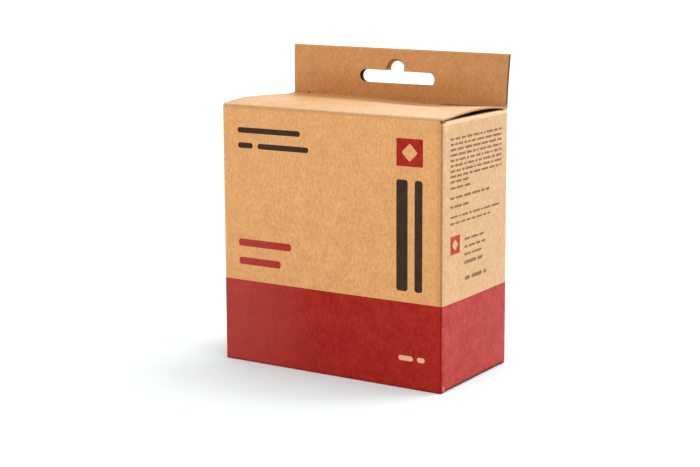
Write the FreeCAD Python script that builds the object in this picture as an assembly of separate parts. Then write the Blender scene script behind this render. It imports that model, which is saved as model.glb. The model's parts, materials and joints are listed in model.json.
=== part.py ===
import FreeCAD, Part
import math
import os

# A folding carton of kraft board that hangs from a tab and holds one wrapped block of gymnastics chalk.
# The origin is the middle of the base. +X is to the right of the printed front, which faces -Y, and +Z is up.
# The carton is one folded blank. It is split at its creases, so that each panel or flap is its own solid.

# --- driving dimensions, in millimetres and degrees -----------------------------------------------------------
WIDTH = 78.0
DEPTH = 40.0
HEIGHT = 80.0
TAB_HEIGHT = 17.0
BOARD = 0.5
CORNER_RADIUS = 0.9

LID_SIDE_GAP = 0.3
LID_RISE = 3.77
LID_SEAT = 0.3
FRONT_TOP_GAP = 0.2
TUCK_SETBACK = 0.6

TOP_TUCK_LENGTH = 10.0
TOP_TUCK_LEAN = 11.5
BOTTOM_TUCK_LENGTH = 9.0
BOTTOM_TUCK_LEAN = 9.0
TUCK_END_INSET = 3.0
TUCK_CORNER_RADIUS = 5.0

DUST_LENGTH = 28.0
DUST_REAR_GAP = 2.7
DUST_TAPER = 0.26
DUST_FRONT_GAP = 2.2
DUST_SHOULDER = 1.5
DUST_SHOULDER_AT = 5.0
DUST_CORNER_RADIUS = 2.0
TOP_DUST_DROP = 0.3
BOTTOM_DUST_RISE = 0.6

BOTTOM_RIGHT_GAP = 0.6
BOTTOM_LEFT_GAP = 1.2
BOTTOM_CORNER_RADIUS = 1.2

PLY_GAP = 0.2
SLOT_LENGTH = 27.0
SLOT_HEIGHT = 4.2
SLOT_ABOVE_BODY = 5.8
NOTCH_RADIUS = 3.25
REAR_NOTCH_RADIUS = 2.5
NOTCH_RISE = 0.55
TAB_GLUE_LENGTH = 19.0
TAB_GLUE_HEIGHT = 11.0
TAB_GLUE_END_GAP = 2.0
TAB_GLUE_BASE_GAP = 3.0

SEAM_GLUE_THICKNESS = 0.1
GLUE_FLAP_WIDTH = 12.0
GLUE_FLAP_END_GAP = 1.5
GLUE_FLAP_TAPER = 4.0
SEAM_GLUE_WIDTH = 8.0
SEAM_GLUE_END_GAP = 6.0
SEAM_EDGE_SETBACK = 0.3

BLOCK_WIDTH = 72.0
BLOCK_DEPTH = 35.6
BLOCK_HEIGHT = 68.5
BLOCK_EDGE_RADIUS = 1.2
WRAPPER = 0.15
WRAPPER_GAP = 0.03
BLOCK_REAR_GAP = 0.9
BLOCK_FLOOR_GAP = 0.25

# --- places worked out from them ------------------------------------------------------------------------------
RIGHT = WIDTH / 2
LEFT = -WIDTH / 2
FRONT = -DEPTH / 2
BACK = DEPTH / 2

TAB_THICKNESS = 2 * BOARD + PLY_GAP
PLY_FRONT = BACK - TAB_THICKNESS
LID_HINGE = FreeCAD.Vector(0, PLY_FRONT, HEIGHT + LID_SEAT)
LID_FRONT = FRONT + TUCK_SETBACK
LID_DEPTH = PLY_FRONT - LID_FRONT
TOP_DUST_Z = HEIGHT - TOP_DUST_DROP
SEAM_X = LEFT + BOARD + SEAM_GLUE_THICKNESS
BOTTOM_RIGHT = RIGHT - BOTTOM_RIGHT_GAP
BOTTOM_LEFT = LEFT + BOTTOM_LEFT_GAP
BLOCK_CENTRE_Y = BACK - BOARD - BLOCK_REAR_GAP - BLOCK_DEPTH / 2
BLOCK_BASE = BOTTOM_DUST_RISE + BOARD + BLOCK_FLOOR_GAP


# --- building blocks ------------------------------------------------------------------------------------------
def vector(x, y, z=0.0):
    return FreeCAD.Vector(x, y, z)


def line(start, end):
    return Part.LineSegment(start, end).toShape()


def arc(start, middle, end):
    return Part.Arc(start, middle, end).toShape()


def solid(edges, travel):
    """The flat face that the edges enclose, swept along travel."""
    return Part.Face(Part.Wire(Part.__sortEdges__(edges))).extrude(travel)


def outline(corners):
    """Edges round a flat outline. Each corner is x, y and the radius that rounds it."""
    starts, edges, rounds = [], [], []
    for i, (x, y, radius) in enumerate(corners):
        here = vector(x, y)
        before = vector(*corners[i - 1][:2]) - here
        after = vector(*corners[(i + 1) % len(corners)][:2]) - here
        half = before.getAngle(after) / 2
        reach = radius / math.tan(half)
        before.normalize()
        after.normalize()
        first = here + before * reach
        last = here + after * reach
        starts.append((first, last))
        if radius:
            inward = (before + after).normalize()
            middle = here + inward * (radius / math.sin(half) - radius)
            rounds.append(arc(first, middle, last))
    for i, (first, last) in enumerate(starts):
        edges.append(line(last, starts[(i + 1) % len(starts)][0]))
    return edges + rounds


def placed(shape, origin, along, inward):
    """Moves a shape so that its own +Y runs along the first direction and its +Z runs inward."""
    across = along.cross(inward)
    matrix = FreeCAD.Matrix(
        across.x, along.x, inward.x, origin.x,
        across.y, along.y, inward.y, origin.y,
        across.z, along.z, inward.z, origin.z,
        0, 0, 0, 1,
    )
    moved = shape.copy()
    moved.Placement = FreeCAD.Placement(matrix)
    return moved


def flap(corners, fold=90.0):
    """A board flap whose outer face is at z = 0 and whose crease runs along x, where its end is mitred for a fold."""
    plate = solid(outline(corners), vector(0, 0, BOARD))
    reach = BOARD / math.tan(math.radians(fold / 2))
    end = WIDTH
    wedge = solid(
        [
            line(vector(-end, 0, 0), vector(-end, reach, BOARD)),
            line(vector(-end, reach, BOARD), vector(-end, 0, BOARD)),
            line(vector(-end, 0, BOARD), vector(-end, 0, 0)),
        ],
        vector(2 * end, 0, 0),
    )
    return plate.cut(wedge)


def bend(centre_u, away):
    """The outer and inner edges of half a corner bend, and the points where it ends. away is -1 or 1 along x."""
    radii = (CORNER_RADIUS, CORNER_RADIUS - BOARD)
    edges, ends = [], []
    for radius in radii:
        points = [
            vector(
                centre_u + away * radius * math.sin(math.radians(angle)),
                CORNER_RADIUS - radius * math.cos(math.radians(angle)),
            )
            for angle in (0, 22.5, 45)
        ]
        edges.append(arc(*points))
        ends.append(points[-1])
    return edges, ends


def wall(length, height, start_bent=True, end_bent=True):
    """An upright panel with its outer face at y = 0, from x = 0 to its length, and half of each corner it bends at."""
    edges = []
    first = CORNER_RADIUS if start_bent else 0.0
    last = length - CORNER_RADIUS if end_bent else length
    for bent, at, away in ((start_bent, first, -1), (end_bent, last, 1)):
        ends = [vector(at, 0), vector(at, BOARD)]
        if bent:
            arcs, ends = bend(at, away)
            edges += arcs
        edges.append(line(*ends))
    edges.append(line(vector(first, 0), vector(last, 0)))
    edges.append(line(vector(first, BOARD), vector(last, BOARD)))
    return solid(edges, vector(0, 0, height))


def turned(shape, degrees, x, y, z):
    """Turns an upright panel about Z and stands it at a place."""
    moved = shape.copy()
    moved.Placement = FreeCAD.Placement(vector(x, y, z), FreeCAD.Rotation(vector(0, 0, 1), degrees))
    return moved


def crease_wedge(length, top):
    """What a fold's mitre takes off the inner edge of a panel. It runs along x, at z = 0 where the crease is."""
    side = -1 if top else 1
    return solid(
        [
            line(vector(0, 0, 0), vector(0, BOARD, 0)),
            line(vector(0, BOARD, 0), vector(0, BOARD, side * BOARD)),
            line(vector(0, BOARD, side * BOARD), vector(0, 0, 0)),
        ],
        vector(length, 0, 0),
    )


def mirrored(shape):
    return shape.mirror(vector(0, 0, 0), vector(1, 0, 0))


# --- the four walls -------------------------------------------------------------------------------------------
def front_panel():
    return turned(wall(WIDTH, HEIGHT - FRONT_TOP_GAP), 0, LEFT, FRONT, 0)


def creased_side(panel, degrees, x, y, length):
    """A side panel, mitred at the top and the bottom where its dust flaps fold in."""
    shape = turned(panel, degrees, x, y, BOTTOM_DUST_RISE)
    top = turned(crease_wedge(length, True), degrees, x, y, TOP_DUST_Z)
    bottom = turned(crease_wedge(length, False), degrees, x, y, BOTTOM_DUST_RISE)
    return shape.cut(top).cut(bottom)


def right_side_panel():
    panel = wall(DEPTH, TOP_DUST_Z - BOTTOM_DUST_RISE)
    return creased_side(panel, 90, RIGHT, FRONT, DEPTH)


def left_side_panel():
    length = DEPTH - SEAM_EDGE_SETBACK
    panel = wall(length, TOP_DUST_Z - BOTTOM_DUST_RISE, start_bent=False)
    return creased_side(panel, 270, LEFT, BACK - SEAM_EDGE_SETBACK, length)


def back_panel():
    shape = turned(wall(RIGHT - SEAM_X, HEIGHT), 180, RIGHT, BACK, 0)
    wedge = crease_wedge(BOTTOM_RIGHT - BOTTOM_LEFT, False)
    return shape.cut(turned(wedge, 180, BOTTOM_RIGHT, BACK, 0))


def glue_flap():
    """The narrow flap that folds in from the back panel and lies inside the left side panel."""
    shape = wall(GLUE_FLAP_WIDTH, HEIGHT - 2 * GLUE_FLAP_END_GAP, end_bent=False)
    shape = turned(shape, 270, SEAM_X, BACK, GLUE_FLAP_END_GAP)
    free_edge = BACK - GLUE_FLAP_WIDTH
    for end, side in ((GLUE_FLAP_END_GAP, 1), (HEIGHT - GLUE_FLAP_END_GAP, -1)):
        corner = vector(SEAM_X, free_edge, end)
        shape = shape.cut(
            solid(
                [
                    line(corner, vector(SEAM_X, BACK - CORNER_RADIUS, end)),
                    line(
                        vector(SEAM_X, BACK - CORNER_RADIUS, end),
                        vector(SEAM_X, free_edge, end + side * GLUE_FLAP_TAPER),
                    ),
                    line(vector(SEAM_X, free_edge, end + side * GLUE_FLAP_TAPER), corner),
                ],
                vector(BOARD, 0, 0),
            )
        )
    return shape


def side_seam_glue():
    """The line of adhesive between the glue flap and the left side panel."""
    start = BACK - GLUE_FLAP_WIDTH + (GLUE_FLAP_WIDTH - CORNER_RADIUS - SEAM_GLUE_WIDTH) / 2
    return Part.makeBox(
        SEAM_GLUE_THICKNESS,
        SEAM_GLUE_WIDTH,
        HEIGHT - 2 * SEAM_GLUE_END_GAP,
        vector(LEFT + BOARD, start, SEAM_GLUE_END_GAP),
    )


# --- the hang tab ---------------------------------------------------------------------------------------------
def tab_ply(side, foot):
    """One ply of the tab with its half of the top fold. side is the way from its outer face to the other ply."""
    fold = vector(0, BACK - TAB_THICKNESS / 2, HEIGHT + TAB_HEIGHT - TAB_THICKNESS / 2)
    outer_radius = TAB_THICKNESS / 2
    inner_radius = outer_radius - BOARD
    outer_foot, inner_foot = foot
    edges = [line(outer_foot, inner_foot)]
    for radius, start in ((outer_radius, outer_foot), (inner_radius, inner_foot)):
        rim = [
            fold + vector(0, -side * radius * math.cos(math.radians(angle)), radius * math.sin(math.radians(angle)))
            for angle in (0, 45, 90)
        ]
        edges.append(line(start, rim[0]))
        edges.append(arc(*rim))
    edges.append(line(fold + vector(0, 0, outer_radius), fold + vector(0, 0, inner_radius)))
    ply = solid(edges, vector(WIDTH, 0, 0))
    ply.translate(vector(LEFT, 0, 0))
    return ply


def euro_slot(notch_radius):
    """The hanging slot: a long slot with round ends, and a round notch above its middle."""
    middle_z = HEIGHT + SLOT_ABOVE_BODY + SLOT_HEIGHT / 2
    radius = SLOT_HEIGHT / 2
    reach = SLOT_LENGTH / 2 - radius
    through = 4 * TAB_THICKNESS
    start = PLY_FRONT - TAB_THICKNESS
    along_y = vector(0, 1, 0)
    bar = Part.makeBox(2 * reach, through, SLOT_HEIGHT, vector(-reach, start, middle_z - radius))
    ends = [Part.makeCylinder(radius, through, vector(x, start, middle_z), along_y) for x in (-reach, reach)]
    notch_z = middle_z + radius + NOTCH_RISE
    notch = Part.makeCylinder(notch_radius, through, vector(0, start, notch_z), along_y)
    return bar.multiFuse(ends + [notch]).removeSplitter()


def hang_tab_front_ply():
    foot = (LID_HINGE, lid_rear_inner())
    return tab_ply(1, foot).cut(euro_slot(NOTCH_RADIUS))


def hang_tab_rear_ply():
    foot = (vector(0, BACK, HEIGHT), vector(0, BACK - BOARD, HEIGHT))
    return tab_ply(-1, foot).cut(euro_slot(REAR_NOTCH_RADIUS))


def hang_tab_glue():
    """Two patches of adhesive between the plies, one each side of the slot."""
    base = HEIGHT + TAB_GLUE_BASE_GAP
    outer = RIGHT - TAB_GLUE_END_GAP
    patches = [
        Part.makeBox(TAB_GLUE_LENGTH, PLY_GAP, TAB_GLUE_HEIGHT, vector(x, BACK - BOARD - PLY_GAP, base))
        for x in (-outer, outer - TAB_GLUE_LENGTH)
    ]
    return Part.makeCompound(patches)


# --- the lid --------------------------------------------------------------------------------------------------
def lid_top(y):
    """Height of the lid's upper face. It bows up between its two creases, a little more towards the front."""
    share = (y - LID_FRONT) / LID_DEPTH
    return LID_HINGE.z + LID_RISE * share * (1 - share) * (2 - share)


def lid_front_inner():
    """Where the inner faces of the lid and its tuck flap meet."""
    slope = math.atan(2 * LID_RISE / LID_DEPTH)
    middle = (slope - math.radians(90 - TOP_TUCK_LEAN)) / 2
    reach = BOARD / math.sin(math.radians(top_fold() / 2))
    return vector(0, LID_FRONT + reach * math.cos(middle), LID_HINGE.z + reach * math.sin(middle))


def lid_rear_inner():
    """Where the lower face of the lid meets the rear face of the tab's front ply."""
    y = PLY_FRONT + BOARD
    return vector(0, y, lid_top(y) - BOARD)


def top_fold():
    """The angle between the lid and its tuck flap, in degrees."""
    slope = math.degrees(math.atan(2 * LID_RISE / LID_DEPTH))
    return slope + 90 - TOP_TUCK_LEAN


def lid_panel():
    steps = 12

    def curve(start, end, drop):
        points = []
        for i in range(steps + 1):
            y = start + (end - start) * i / steps
            points.append(vector(0, y, lid_top(y) - drop))
        spline = Part.BSplineCurve()
        spline.interpolate(points)
        return spline.toShape(), points[0], points[-1]

    upper, front, rear = curve(LID_FRONT, PLY_FRONT, 0)
    lower, lower_front, lower_rear = curve(lid_front_inner().y, lid_rear_inner().y, BOARD)
    edges = [upper, lower, line(front, lower_front), line(rear, lower_rear)]
    lid = solid(edges, vector(WIDTH - 2 * LID_SIDE_GAP, 0, 0))
    lid.translate(vector(LEFT + LID_SIDE_GAP, 0, 0))
    return lid


def tuck_corners(half_width, length):
    """A tuck flap's outline: full width at its crease, and rounded where it enters the carton."""
    end = half_width - TUCK_END_INSET
    return [
        (-end, 0, 0),
        (end, 0, 0),
        (end, length, TUCK_CORNER_RADIUS),
        (-end, length, TUCK_CORNER_RADIUS),
    ]


def lid_tuck_flap():
    lean = math.radians(TOP_TUCK_LEAN)
    shape = flap(tuck_corners(RIGHT - LID_SIDE_GAP, TOP_TUCK_LENGTH), top_fold())
    along = vector(0, math.sin(lean), -math.cos(lean))
    inward = vector(0, math.cos(lean), math.sin(lean))
    return placed(shape, vector(0, LID_FRONT, LID_HINGE.z), along, inward)


# --- the dust flaps -------------------------------------------------------------------------------------------
def dust_flap(hinge_y, z, up):
    """A right-hand dust flap. Its rear edge tapers away from the hinge of the panel that covers it."""
    rear = hinge_y - DUST_REAR_GAP
    front = FRONT + DUST_FRONT_GAP
    side = 1 if up else -1
    corners = [
        (front, 0, 0),
        (rear, 0, 0),
        (rear - DUST_TAPER * DUST_LENGTH, DUST_LENGTH, DUST_CORNER_RADIUS),
        (front + DUST_SHOULDER, DUST_LENGTH, DUST_CORNER_RADIUS),
        (front + DUST_SHOULDER, DUST_SHOULDER_AT + DUST_SHOULDER, 0),
        (front, DUST_SHOULDER_AT, 0),
    ]
    corners = [(-side * y, reach, radius) for y, reach, radius in corners]
    return placed(flap(corners), vector(RIGHT, 0, z), vector(-1, 0, 0), vector(0, 0, -side))


def right_top_dust_flap():
    return dust_flap(PLY_FRONT, TOP_DUST_Z, True)


def right_bottom_dust_flap():
    return dust_flap(BACK, BOTTOM_DUST_RISE, False)


# --- the bottom closure ---------------------------------------------------------------------------------------
def bottom_panel():
    """The bottom panel lies flat on the shelf, mitred at the back crease and at its front crease."""
    length = BACK - LID_FRONT
    corners = [
        (-BOTTOM_RIGHT, 0, BOTTOM_CORNER_RADIUS),
        (-BOTTOM_LEFT, 0, BOTTOM_CORNER_RADIUS),
        (-BOTTOM_LEFT, length, BOTTOM_CORNER_RADIUS),
        (-BOTTOM_RIGHT, length, BOTTOM_CORNER_RADIUS),
    ]
    plate = placed(flap(corners), vector(0, BACK, 0), vector(0, -1, 0), vector(0, 0, 1))
    reach = BOARD / math.tan(math.radians(90 - BOTTOM_TUCK_LEAN) / 2)
    wedge = solid(
        [
            line(vector(LEFT, LID_FRONT, 0), vector(LEFT, LID_FRONT, BOARD)),
            line(vector(LEFT, LID_FRONT, BOARD), vector(LEFT, LID_FRONT + reach, BOARD)),
            line(vector(LEFT, LID_FRONT + reach, BOARD), vector(LEFT, LID_FRONT, 0)),
        ],
        vector(WIDTH, 0, 0),
    )
    return plate.cut(wedge)


def bottom_tuck_flap():
    lean = math.radians(BOTTOM_TUCK_LEAN)
    shape = flap(tuck_corners(BOTTOM_RIGHT, BOTTOM_TUCK_LENGTH), 90 - BOTTOM_TUCK_LEAN)
    along = vector(0, math.sin(lean), math.cos(lean))
    inward = vector(0, math.cos(lean), -math.sin(lean))
    return placed(shape, vector(0, LID_FRONT, 0), along, inward)


# --- what the carton holds ------------------------------------------------------------------------------------
def rounded_block(grow):
    """The block's shape, grown on every side."""
    box = Part.makeBox(
        BLOCK_WIDTH + 2 * grow,
        BLOCK_DEPTH + 2 * grow,
        BLOCK_HEIGHT + 2 * grow,
        vector(-BLOCK_WIDTH / 2 - grow, BLOCK_CENTRE_Y - BLOCK_DEPTH / 2 - grow, BLOCK_BASE - grow),
    )
    return box.makeFillet(BLOCK_EDGE_RADIUS + grow, box.Edges)


def chalk_block():
    return rounded_block(0)


def block_wrapper():
    return rounded_block(WRAPPER).cut(rounded_block(WRAPPER_GAP))


NODES = {
    "front_panel": front_panel,
    "right_side_panel": right_side_panel,
    "left_side_panel": left_side_panel,
    "back_panel": back_panel,
    "glue_flap": glue_flap,
    "side_seam_glue": side_seam_glue,
    "hang_tab_front_ply": hang_tab_front_ply,
    "hang_tab_rear_ply": hang_tab_rear_ply,
    "hang_tab_glue": hang_tab_glue,
    "lid_panel": lid_panel,
    "lid_tuck_flap": lid_tuck_flap,
    "right_top_dust_flap": right_top_dust_flap,
    "left_top_dust_flap": lambda: mirrored(right_top_dust_flap()),
    "bottom_panel": bottom_panel,
    "bottom_tuck_flap": bottom_tuck_flap,
    "right_bottom_dust_flap": right_bottom_dust_flap,
    "left_bottom_dust_flap": lambda: mirrored(right_bottom_dust_flap()),
    "chalk_block": chalk_block,
    "block_wrapper": block_wrapper,
}


def main():
    os.makedirs("parts", exist_ok=True)
    for node, make in NODES.items():
        shape = make()
        shape.exportStep(os.path.join("parts", node + ".step"))
        box = shape.BoundBox
        print(
            f"{node:24} {'valid' if shape.isValid() else 'INVALID'} volume {shape.Volume:10.2f}"
            f"  x {box.XMin:7.2f} {box.XMax:7.2f}  y {box.YMin:7.2f} {box.YMax:7.2f}"
            f"  z {box.ZMin:7.2f} {box.ZMax:7.2f}"
        )


main()
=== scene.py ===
import bisect
import json
import math
import random

import bmesh
import bpy
from mathutils import Matrix, Vector, geometry, noise


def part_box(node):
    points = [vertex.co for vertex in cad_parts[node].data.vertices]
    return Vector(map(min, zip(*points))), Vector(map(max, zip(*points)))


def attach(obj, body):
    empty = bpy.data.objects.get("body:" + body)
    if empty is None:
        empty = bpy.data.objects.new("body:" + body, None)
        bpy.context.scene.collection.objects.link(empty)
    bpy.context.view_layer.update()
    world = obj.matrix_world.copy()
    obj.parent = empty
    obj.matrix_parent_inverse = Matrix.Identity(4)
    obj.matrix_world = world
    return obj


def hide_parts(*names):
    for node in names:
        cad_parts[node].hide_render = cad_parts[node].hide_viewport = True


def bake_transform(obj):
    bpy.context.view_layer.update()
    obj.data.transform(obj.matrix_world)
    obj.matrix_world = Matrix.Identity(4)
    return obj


# A hang-tab folding carton of kraft board, printed with plain ink shapes, with one wrapped block of chalk
# in it. Shapes are worked out in millimetres in the part's own frame and written to meshes in metres.

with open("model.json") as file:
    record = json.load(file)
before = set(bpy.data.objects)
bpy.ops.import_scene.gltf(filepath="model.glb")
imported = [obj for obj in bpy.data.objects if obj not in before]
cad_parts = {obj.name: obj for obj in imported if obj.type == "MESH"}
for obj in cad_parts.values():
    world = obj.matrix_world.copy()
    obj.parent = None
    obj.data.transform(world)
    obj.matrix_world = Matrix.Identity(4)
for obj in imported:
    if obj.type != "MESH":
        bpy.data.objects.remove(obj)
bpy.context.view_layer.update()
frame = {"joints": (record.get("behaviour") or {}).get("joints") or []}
MM = 0.001


def box_mm(node):
    """A CAD node's lowest and highest corners, in millimetres."""
    low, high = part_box(node)
    return Vector(low) / MM, Vector(high) / MM


def joint_mm(name):
    """A point on a joint's axis, in millimetres."""
    joint = next(j for j in frame["joints"] if j["name"] == name)
    return Vector(joint["pos_m"]) / MM


# --- sizes read from the frame ------------------------------------------------
FRONT = box_mm("front_panel")[0].y
BACK = box_mm("back_panel")[1].y
LEFT = box_mm("left_side_panel")[0].x
RIGHT = box_mm("right_side_panel")[1].x
BODY_TOP = box_mm("back_panel")[1].z
FRONT_TOP = box_mm("front_panel")[1].z
SIDE_BASE = box_mm("right_side_panel")[0].z
SIDE_TOP = box_mm("right_side_panel")[1].z
TAB_TOP = box_mm("hang_tab_rear_ply")[1].z
LID_HINGE = joint_mm("lid_hinge")
LID_CREASE = joint_mm("lid_tuck_crease")
BOTTOM_CREASE = joint_mm("bottom_tuck_crease")
BOARD = box_mm("bottom_panel")[1].z
WIDTH = RIGHT - LEFT
DEPTH = BACK - FRONT
PLY_FRONT = box_mm("hang_tab_front_ply")[0].y
FOLD_RADIUS = (BACK - PLY_FRONT) / 2
TAB_CENTRE = PLY_FRONT + FOLD_RADIUS
LID_RIGHT = box_mm("lid_panel")[1].x
LID_TUCK_RIGHT = box_mm("lid_tuck_flap")[1].x
BOTTOM_LEFT = box_mm("bottom_panel")[0].x
BOTTOM_RIGHT = box_mm("bottom_panel")[1].x
BOTTOM_TUCK_RIGHT = box_mm("bottom_tuck_flap")[1].x
SEAM_X = box_mm("glue_flap")[0].x
DUST_LENGTH = RIGHT - box_mm("right_top_dust_flap")[0].x

# --- shape details that the frame leaves to the looks -------------------------
CORNER_RADIUS = 0.9
CREASE_RADIUS = 0.62
VALLEY_RADIUS = 0.18
CREASE_STEP = 0.1
FOLD_STEP = 0.12
GROOVE_DEPTH = 0.10
GROOVE_WIDTH = 0.34
GROOVE_AT = 0.62
PANEL_BULGE = 0.22
BAND_TOP = 26.1

# The lid's bow, how it changes from end to end, and its tuck flap.
LID_RISE = 6.0
LID_SKEW = 1.3
LID_OVERHANG = 0.4
FRONT_LIFT_LEFT = 0.65
FRONT_LIFT_RIGHT = 0.3
FRONT_FULL = 0.42
FRONT_FULL_END = 0.46
REAR_FLAT = 1.0
REAR_FLAT_INSET = 0.28
VALLEY_LIFT = 0.75
VALLEY_DIP = 1.2
VALLEY_DIP_AT = 0.68
VALLEY_DIP_WIDTH = 0.38
LID_TUCK_LENGTH = 10.0
LID_TUCK_LEAN = 11.5

# The other flaps. The margins are how far from a crease one board ends and the next begins.
BOTTOM_TUCK_LENGTH = 9.0
BOTTOM_TUCK_LEAN = 9.0
TUCK_CORNER_RADIUS = 5.0
DUST_TAPER = 0.26
DUST_SHOULDER = 1.5
DUST_SHOULDER_AT = 5.0
DUST_CORNER_RADIUS = 2.0
FLAP_DIP = 1.3
FLAP_DIP_LENGTH = 7.0
GLUE_FLAP_TAPER = 4.0
VALLEY_MARGIN = 0.9
CREASE_MARGIN = 0.75

# The hang tab: its slot, its ends, and how it leans, runs down and bows.
SLOT_BASE = BODY_TOP + 5.8
SLOT_HEIGHT = 4.2
SLOT_LENGTH = 27.0
SLOT_SHIFT = 0.8
NOTCH_RADIUS = 3.25
REAR_NOTCH_RADIUS = 2.5
NOTCH_RISE = 0.55
TAB_LEFT = LEFT + 0.6
TAB_RIGHT = RIGHT - 0.25
TAB_LEAN_LEFT = 0.2
TAB_LEAN_RIGHT = 1.8
TAB_DROP = 0.85
TAB_BOW = 1.0
TAB_GLUE_LENGTH = 19.0

# How the standing carton spreads at its foot, and how much of that is gone at its top.
LEFT_SPREAD = 0.6
LEFT_SPREAD_LOSS = 0.65
REAR_SPREAD = 0.6
REAR_SPREAD_LOSS = 0.6


# --- meshes -------------------------------------------------------------------
def make_object(name, bm, materials):
    mesh = bpy.data.meshes.new(name)
    bm.to_mesh(mesh)
    bm.free()
    for material in materials:
        mesh.materials.append(material)
    piece = bpy.data.objects.new(name, mesh)
    bpy.context.scene.collection.objects.link(piece)
    return piece


def span(start, end, step):
    """Evenly spaced cuts between two values, without the ends."""
    count = max(1, round(abs(end - start) / step))
    return [start + (end - start) * i / count for i in range(1, count)]


def fillet(before, here, after, radius, steps):
    """Points round a corner of a flat line, from the side of one neighbour to the side of the other."""
    here = Vector(here)
    back = (Vector(before) - here).normalized()
    ahead = (Vector(after) - here).normalized()
    half = back.angle(ahead) / 2
    reach = radius / math.tan(half)
    centre = here + (back + ahead).normalized() * (radius / math.sin(half))
    first = here + back * reach - centre
    last = here + ahead * reach - centre
    sweep = math.copysign(math.pi - 2 * half, first.x * last.y - first.y * last.x)
    return [centre + Matrix.Rotation(sweep * k / steps, 2) @ first for k in range(steps + 1)]


def rounded(corners, steps=6):
    """Points round a flat outline whose corners are x, y and radius."""
    points = []
    for i, (x, y, radius) in enumerate(corners):
        if radius:
            points += fillet(corners[i - 1][:2], (x, y), corners[(i + 1) % len(corners)][:2], radius, steps)
        else:
            points.append(Vector((x, y)))
    return points


def inside(loop, u, v):
    """Whether a point lies in a closed loop."""
    within = False
    for (u1, v1), (u2, v2) in zip(loop, loop[1:] + loop[:1]):
        if (v1 > v) != (v2 > v) and u < u1 + (u2 - u1) * (v - v1) / (v2 - v1):
            within = not within
    return within


def die_cut(outline, holes, prints, u_cuts, v_cuts, paint):
    """A flat sheet cut along lines of constant u and v.

    Returns its corners, its faces with their ink, and its rim."""
    points, edges = [], []
    for loop in (outline, *holes, *(loop for loop, _ in prints)):
        first = len(points)
        count = len(loop)
        points += [Vector(p) for p in loop]
        edges += [(first + i, first + (i + 1) % count) for i in range(count)]
    verts, _, faces, *_ = geometry.delaunay_2d_cdt(points, edges, [], 1, 1e-5)
    bm = bmesh.new()
    made = [bm.verts.new((v.x, v.y, 0)) for v in verts]
    for face in faces:
        middle = sum((verts[i] for i in face), Vector((0, 0))) / len(face)
        if not any(inside(hole, *middle) for hole in holes):
            bm.faces.new([made[i] for i in face])
    for values, normal in ((u_cuts, (1, 0, 0)), (v_cuts, (0, 1, 0))):
        for value in values:
            everything = bm.verts[:] + bm.edges[:] + bm.faces[:]
            at = Vector(normal) * value
            bmesh.ops.bisect_plane(bm, geom=everything, plane_co=at, plane_no=normal, dist=1e-5)
    bmesh.ops.remove_doubles(bm, verts=bm.verts[:], dist=1e-4)
    areas = []
    for loop, ink_index in prints:
        loop = [tuple(p) for p in loop]
        us, vs = zip(*loop)
        areas.append((min(us), max(us), min(vs), max(vs), loop, ink_index))
    for face in bm.faces:
        middle = face.calc_center_median()
        index = paint(middle.x, middle.y) if paint else 0
        for u_low, u_high, v_low, v_high, loop, ink_index in areas:
            if u_low < middle.x < u_high and v_low < middle.y < v_high and inside(loop, middle.x, middle.y):
                index = ink_index
        face.material_index = index
    bmesh.ops.join_triangles(
        bm, faces=bm.faces[:], angle_face_threshold=0.1, angle_shape_threshold=0.6,
        cmp_seam=False, cmp_sharp=False, cmp_uvs=False, cmp_vcols=False, cmp_materials=True,
    )
    bm.verts.ensure_lookup_table()
    bm.verts.index_update()
    corners = [(v.co.x, v.co.y) for v in bm.verts]
    cells = [([v.index for v in f.verts], f.material_index) for f in bm.faces]
    rim = [[v.index for v in e.verts] for e in bm.edges if e.is_boundary]
    bm.free()
    return corners, cells, rim


def settled(point):
    """A place on the standing carton, whose left end and right rear corner spread a little at the foot."""
    x, y, z = point
    height = min(1.0, z / BODY_TOP)
    out = LEFT_SPREAD * max(0.0, x / LEFT) * (1 - LEFT_SPREAD_LOSS * height)
    back = REAR_SPREAD * max(0.0, y / BACK) * max(0.0, x / RIGHT) * (1 - REAR_SPREAD_LOSS * height)
    return Vector((x - out, y + back, z))


def board(
    name, surface, outline, materials,
    holes=(), prints=(), u_cuts=(), v_cuts=(), thickness=BOARD, paint=None,
):
    """A sheet of board cut flat and then bent. surface(u, v, w) gives the place w below the outer face.

    materials are for the outer face, the inner face and the cut edge, and then for each ink."""
    corners, cells, rim = die_cut(outline, holes, prints, u_cuts, v_cuts, paint)
    bm = bmesh.new()
    rows = []
    for w in (0.0, thickness):
        rows.append([bm.verts.new(settled(surface(u, v, w)) * MM) for u, v in corners])
    outer, inner = rows
    for cell, material_index in cells:
        face = bm.faces.new([outer[i] for i in cell])
        face.smooth = True
        face.material_index = material_index
        face = bm.faces.new([inner[i] for i in reversed(cell)])
        face.smooth = True
        face.material_index = 1
    for a, b in rim:
        face = bm.faces.new([outer[a], outer[b], inner[b], inner[a]])
        face.material_index = 2
        for row in rows:
            bm.edges.get((row[a], row[b])).smooth = False
    bmesh.ops.recalc_face_normals(bm, faces=bm.faces[:])
    return make_object(name, bm, materials)


def fixed(piece, node):
    """Fixes a piece to the carton's body in a node's place."""
    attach(piece, "carton")
    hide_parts(node)


def hinged(piece, node, surface, start, reach):
    """Bakes a board's placement into its mesh and hides the node whose place it takes. It works out the ends
    of a reach of its crease, and does not use them.
    """
    first = Vector(surface(0, start, 0)) * MM
    last = Vector(surface(0, start + reach, 0)) * MM
    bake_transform(piece)
    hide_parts(node)


def crease_cuts(start, end, close, step):
    """Cuts along a flap: close together over its crease, and a step apart past it."""
    return span(start, start + close, CREASE_STEP) + span(start + close, end, step)


# --- how the board bends ------------------------------------------------------
def bump(distance, width):
    """A smooth hill of height 1, gone at width."""
    share = min(1.0, abs(distance) / width)
    return (1 - share * share) ** 2


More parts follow.
